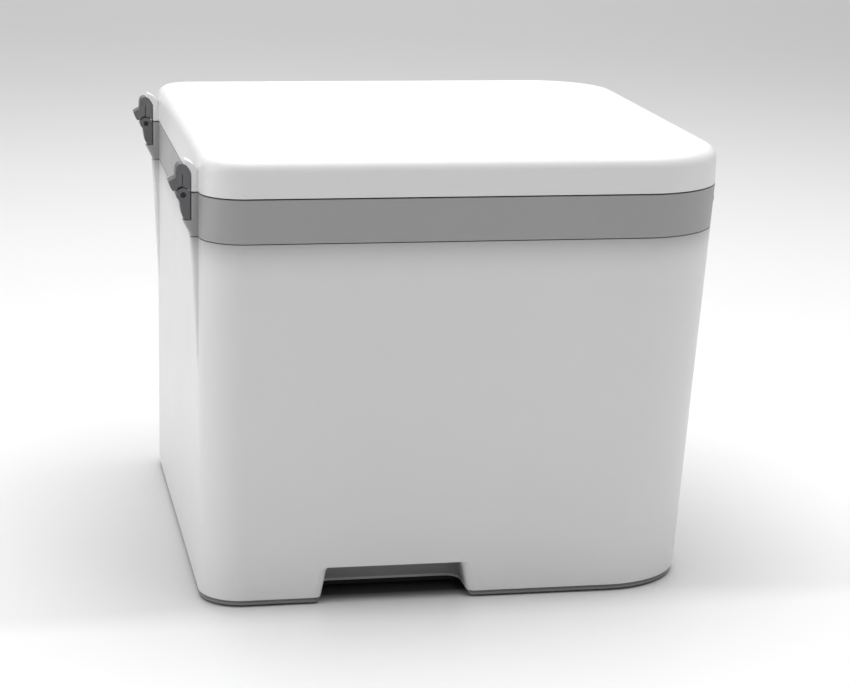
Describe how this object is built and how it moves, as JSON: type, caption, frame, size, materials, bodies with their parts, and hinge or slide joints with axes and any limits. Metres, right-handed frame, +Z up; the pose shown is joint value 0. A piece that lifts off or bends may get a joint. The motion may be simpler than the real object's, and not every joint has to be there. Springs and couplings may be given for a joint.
{
  "type": "filament dryer box",
  "caption": "Heated filament drying cabinet with a hinged gasketed lid, spool rollers, fan heater, control panel and side outlets",
  "frame": {"origin": "on the floor, at the centre of the overall footprint, hinges and outlets included", "axes": "+X towards the user's side with the controls and outlets, -X the hinge side, +Z up"},
  "size_m": [0.3762, 0.368, 0.3],
  "materials": {
    "white_plastic": "fine satin moulded ABS",
    "grey_plastic": "fine moulded texture",
    "chamber_plastic": "moulded, heat-proof",
    "dark_plastic": "glass-filled nylon",
    "base_plastic": "moulded ABS edging",
    "black_plastic": "fine texture",
    "rubber": "moulded",
    "steel": "drawn",
    "heater_fins": "bare",
    "circuit_board": "solder mask",
    "window": "clear smoked acrylic"
  },
  "bodies": {
    "cabinet": {"body_shell": "white_plastic", "collar_band": "grey_plastic", "collar_magnet": "steel", "base_tray": "base_plastic", "foot_1": "rubber", "foot_2": "rubber", "foot_3": "rubber", "foot_4": "rubber", "spool_chamber": "chamber_plastic", "roller_cradle_1": "grey_plastic", "roller_cradle_2": "grey_plastic", "roller_cradle_3": "grey_plastic", "roller_shaft_rear": "steel", "roller_shaft_user_side": "steel", "air_grille": "chamber_plastic", "heater_duct": "grey_plastic", "ptc_heater": "heater_fins", "fan_frame": "black_plastic", "humidity_sensor": "white_plastic", "control_panel": "black_plastic", "display_window": "window", "control_board": "circuit_board", "filament_outlet_1": "dark_plastic", "filament_outlet_2": "dark_plastic", "filament_outlet_3": "dark_plastic", "filament_outlet_4": "dark_plastic", "power_inlet": "black_plastic", "switch_frame": "black_plastic", "power_supply": "steel", "vent_grille": "white_plastic", "hinge_near_body_leaf": "dark_plastic", "hinge_far_body_leaf": "dark_plastic", "hinge_near_pin": "steel", "hinge_far_pin": "steel"},
    "lid": {"lid_shell": "white_plastic", "lid_liner": "chamber_plastic", "lid_gasket": "rubber", "lid_magnet": "steel", "liner_screw_1": "steel", "liner_screw_2": "steel", "liner_screw_3": "steel", "liner_screw_4": "steel", "hinge_near_lid_leaf": "dark_plastic", "hinge_far_lid_leaf": "dark_plastic"},
    "fan_rotor": {"fan_impeller": "black_plastic"},
    "rear_roller_1": {"roller_rear_1": "rubber"},
    "rear_roller_2": {"roller_rear_2": "rubber"},
    "rear_roller_3": {"roller_rear_3": "rubber"},
    "rear_roller_4": {"roller_rear_4": "rubber"},
    "user_roller_1": {"roller_user_side_1": "rubber"},
    "user_roller_2": {"roller_user_side_2": "rubber"},
    "user_roller_3": {"roller_user_side_3": "rubber"},
    "user_roller_4": {"roller_user_side_4": "rubber"},
    "key_1": {"button_1": "white_plastic"},
    "key_2": {"button_2": "white_plastic"},
    "key_3": {"button_3": "white_plastic"},
    "rocker": {"power_rocker": "black_plastic"},
    "shutter": {"vent_shutter": "grey_plastic"},
    "cassette": {"desiccant_cassette": "grey_plastic", "cassette_cover": "white_plastic"}
  },
  "joints": [
    {"name": "lid_hinge", "type": "hinge", "parent": "cabinet", "child": "lid", "pos_m": [-0.1787, 0, 0.2727], "axis": [0, -1, 0], "range_deg": [0, 95]},
    {"name": "fan_spin", "type": "hinge", "parent": "cabinet", "child": "fan_rotor", "pos_m": [0.107, 0, 0.098], "axis": [1, 0, 0], "continuous": true},
    {"name": "rear_roller_1_spin", "type": "hinge", "parent": "cabinet", "child": "rear_roller_1", "pos_m": [-0.105, -0.1162, 0.04905], "axis": [0, 1, 0], "continuous": true},
    {"name": "rear_roller_2_spin", "type": "hinge", "parent": "cabinet", "child": "rear_roller_2", "pos_m": [-0.105, -0.0398, 0.04905], "axis": [0, 1, 0], "continuous": true},
    {"name": "rear_roller_3_spin", "type": "hinge", "parent": "cabinet", "child": "rear_roller_3", "pos_m": [-0.105, 0.0398, 0.04905], "axis": [0, 1, 0], "continuous": true},
    {"name": "rear_roller_4_spin", "type": "hinge", "parent": "cabinet", "child": "rear_roller_4", "pos_m": [-0.105, 0.1162, 0.04905], "axis": [0, 1, 0], "continuous": true},
    {"name": "user_roller_1_spin", "type": "hinge", "parent": "cabinet", "child": "user_roller_1", "pos_m": [0.005, -0.1162, 0.04905], "axis": [0, 1, 0], "continuous": true},
    {"name": "user_roller_2_spin", "type": "hinge", "parent": "cabinet", "child": "user_roller_2", "pos_m": [0.005, -0.0398, 0.04905], "axis": [0, 1, 0], "continuous": true},
    {"name": "user_roller_3_spin", "type": "hinge", "parent": "cabinet", "child": "user_roller_3", "pos_m": [0.005, 0.0398, 0.04905], "axis": [0, 1, 0], "continuous": true},
    {"name": "user_roller_4_spin", "type": "hinge", "parent": "cabinet", "child": "user_roller_4", "pos_m": [0.005, 0.1162, 0.04905], "axis": [0, 1, 0], "continuous": true},
    {"name": "button_1_press", "type": "slide", "parent": "cabinet", "child": "key_1", "axis": [-0.9983, 0, 0.0579], "range_m": [0, 0.0012], "stiffness_N_per_m": 600},
    {"name": "button_2_press", "type": "slide", "parent": "cabinet", "child": "key_2", "axis": [-0.9983, 0, 0.0579], "range_m": [0, 0.0012], "stiffness_N_per_m": 600},
    {"name": "button_3_press", "type": "slide", "parent": "cabinet", "child": "key_3", "axis": [-0.9983, 0, 0.0579], "range_m": [0, 0.0012], "stiffness_N_per_m": 600},
    {"name": "switch_rock", "type": "hinge", "parent": "cabinet", "child": "rocker", "pos_m": [0.086, 0.17592, 0.08208], "axis": [1, 0, 0], "range_deg": [0, 16]},
    {"name": "vent_slide", "type": "slide", "parent": "cabinet", "child": "shutter", "axis": [1, 0, 0], "range_m": [0, 0.005]},
    {"name": "cassette_lift", "type": "slide", "parent": "cabinet", "child": "cassette", "axis": [0, 0, 1], "range_m": [0, 0.021]}
  ]
}
